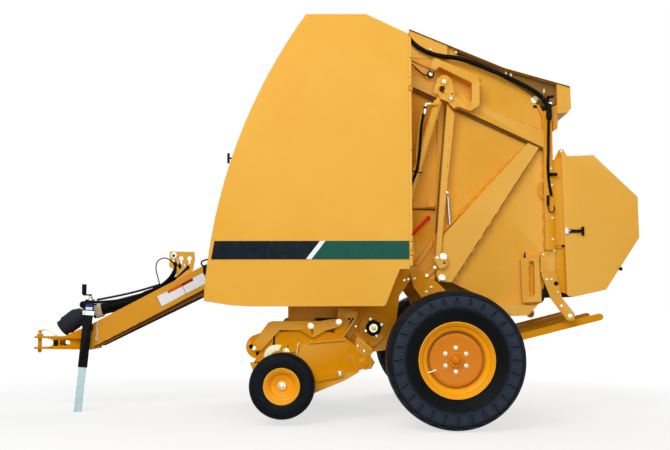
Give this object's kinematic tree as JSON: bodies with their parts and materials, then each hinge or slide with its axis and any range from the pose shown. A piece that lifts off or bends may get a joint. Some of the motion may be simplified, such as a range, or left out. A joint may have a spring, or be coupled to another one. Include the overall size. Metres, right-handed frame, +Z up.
{
  "type": "round baler",
  "caption": "Towed round baler with tailgate, net-wrap box, tined pickup, side shields and drawbar, parked on its jack.",
  "frame": {"origin": "on the ground, at the middle of the machine's length and width", "axes": "+X to the machine's rear, +Y to its right side, +Z up"},
  "size_m": [4.162, 2.43, 2.585],
  "materials": {
    "yellow_paint": "semi-gloss",
    "cover_paint": "semi-gloss",
    "black_paint": "satin",
    "steel": "satin",
    "belt_rubber": "matt",
    "tyre_rubber": "matt",
    "guard_plastic": "matt"
  },
  "bodies": {
    "frame": {"frame_side_left": "yellow_paint", "frame_side_right": "yellow_paint", "axle_beam": "yellow_paint", "cross_members": "yellow_paint", "front_hood": "cover_paint", "front_rollers": "steel", "front_belts": "belt_rubber", "tongue_beams": "yellow_paint", "tongue_braces": "yellow_paint", "tongue_hoses": "belt_rubber", "drive_chain": "black_paint", "hitch": "yellow_paint", "jack_tube": "black_paint", "hose_holder": "yellow_paint", "gearbox": "yellow_paint", "drive_yoke": "guard_plastic", "shield_arms": "yellow_paint", "pickup_pivots": "yellow_paint", "ramp_carrier": "yellow_paint"},
    "jack_leg": {"jack_leg": "steel"},
    "driveline": {"driveline": "guard_plastic"},
    "gate": {"gate_side_left": "yellow_paint", "gate_side_right": "yellow_paint", "gate_beams": "yellow_paint", "gate_roof": "cover_paint", "gate_rollers": "steel", "gate_belts": "belt_rubber", "gate_hoses": "belt_rubber", "net_frame": "yellow_paint"},
    "net_cover": {"net_cover": "cover_paint"},
    "barrel_left": {"cylinder_barrel_left": "yellow_paint"},
    "barrel_right": {"cylinder_barrel_right": "yellow_paint"},
    "rod_left": {"cylinder_rod_left": "steel"},
    "rod_right": {"cylinder_rod_right": "steel"},
    "shield_left": {"shield_left": "cover_paint"},
    "shield_right": {"shield_right": "cover_paint"},
    "wheel_left": {"tyre_left": "tyre_rubber", "rim_left": "yellow_paint"},
    "wheel_right": {"tyre_right": "tyre_rubber", "rim_right": "yellow_paint"},
    "pickup": {"pickup_side_left": "yellow_paint", "pickup_side_right": "yellow_paint", "stripper_bands": "steel"},
    "tine_reel": {"tine_reel": "black_paint"},
    "windguard": {"windguard": "yellow_paint"},
    "gauge_wheel_left": {"gauge_wheel_left": "yellow_paint", "gauge_tyre_left": "tyre_rubber"},
    "gauge_wheel_right": {"gauge_wheel_right": "yellow_paint", "gauge_tyre_right": "tyre_rubber"},
    "bale_ramp": {"bale_ramp": "yellow_paint"}
  },
  "joints": [
    {"name": "gate_hinge", "type": "hinge", "parent": "frame", "child": "gate", "pos_m": [0.524, 0, 2.43], "axis": [0, -1, 0], "range_deg": [0, 60]},
    {"name": "net_cover_hinge", "type": "hinge", "parent": "gate", "child": "net_cover", "pos_m": [1.589, 0, 1.745], "axis": [0, -1, 0], "range_deg": [0, 70]},
    {"name": "barrel_pin_left", "type": "hinge", "parent": "gate", "child": "barrel_left", "pos_m": [0.818, -0.698, 2.196], "axis": [0, -1, 0], "range_deg": [-58.69, 1]},
    {"name": "rod_slide_left", "type": "slide", "parent": "barrel_left", "child": "rod_left", "axis": [-0.2937, 0, -0.9559], "range_m": [-0.001, 0.3737]},
    {"name": "barrel_pin_right", "type": "hinge", "parent": "gate", "child": "barrel_right", "pos_m": [0.818, 0.698, 2.196], "axis": [0, -1, 0], "range_deg": [-58.69, 1]},
    {"name": "rod_slide_right", "type": "slide", "parent": "barrel_right", "child": "rod_right", "axis": [-0.2937, 0, -0.9559], "range_m": [-0.001, 0.3737]},
    {"name": "wheel_left", "type": "hinge", "parent": "frame", "child": "wheel_left", "pos_m": [0.83, -1.025, 0.415], "axis": [0, 1, 0], "continuous": true},
    {"name": "gauge_wheel_left", "type": "hinge", "parent": "pickup", "child": "gauge_wheel_left", "pos_m": [-0.221, -0.89, 0.242], "axis": [0, 1, 0], "continuous": true},
    {"name": "shield_hinge_left", "type": "hinge", "parent": "frame", "child": "shield_left", "pos_m": [0.58, -0.93, 1.5], "axis": [0, 0, 1], "range_deg": [0, 75]},
    {"name": "wheel_right", "type": "hinge", "parent": "frame", "child": "wheel_right", "pos_m": [0.83, 1.025, 0.415], "axis": [0, 1, 0], "continuous": true},
    {"name": "gauge_wheel_right", "type": "hinge", "parent": "pickup", "child": "gauge_wheel_right", "pos_m": [-0.221, 0.89, 0.242], "axis": [0, 1, 0], "continuous": true},
    {"name": "shield_hinge_right", "type": "hinge", "parent": "frame", "child": "shield_right", "pos_m": [0.58, 0.93, 1.5], "axis": [0, 0, -1], "range_deg": [0, 75]},
    {"name": "pickup_lift", "type": "hinge", "parent": "frame", "child": "pickup", "pos_m": [0.299, 0, 0.372], "axis": [0, 1, 0], "range_deg": [-3.5, 12]},
    {"name": "tine_reel_spin", "type": "hinge", "parent": "pickup", "child": "tine_reel", "pos_m": [-0.171, 0, 0.285], "axis": [0, 1, 0], "continuous": true},
    {"name": "windguard_lift", "type": "hinge", "parent": "pickup", "child": "windguard", "pos_m": [0.128, 0, 0.632], "axis": [0, 1, 0], "range_deg": [0, 20]},
    {"name": "ramp_tip", "type": "hinge", "parent": "frame", "child": "bale_ramp", "pos_m": [1.094, 0, 0.47], "axis": [0, 1, 0], "range_deg": [0, 25], "stiffness_Nm_per_rad": 500, "springref_deg": -40.11},
    {"name": "jack_slide", "type": "slide", "parent": "frame", "child": "jack_leg", "axis": [0.0872, 0, 0.9962], "range_m": [0, 0.15]},
    {"name": "driveline_spin", "type": "hinge", "parent": "frame", "child": "driveline", "pos_m": [-1.006, 0, 0.85894], "axis": [0.969, 0, 0.2471], "continuous": true}
  ],
  "couplings": [
    {"joint": "barrel_pin_left", "follows": "gate_hinge", "ratio": -0.96149},
    {"joint": "rod_slide_left", "follows": "gate_hinge", "m_per_rad": 0.3559},
    {"joint": "barrel_pin_right", "follows": "gate_hinge", "ratio": -0.96149},
    {"joint": "rod_slide_right", "follows": "gate_hinge", "m_per_rad": 0.3559}
  ]
}
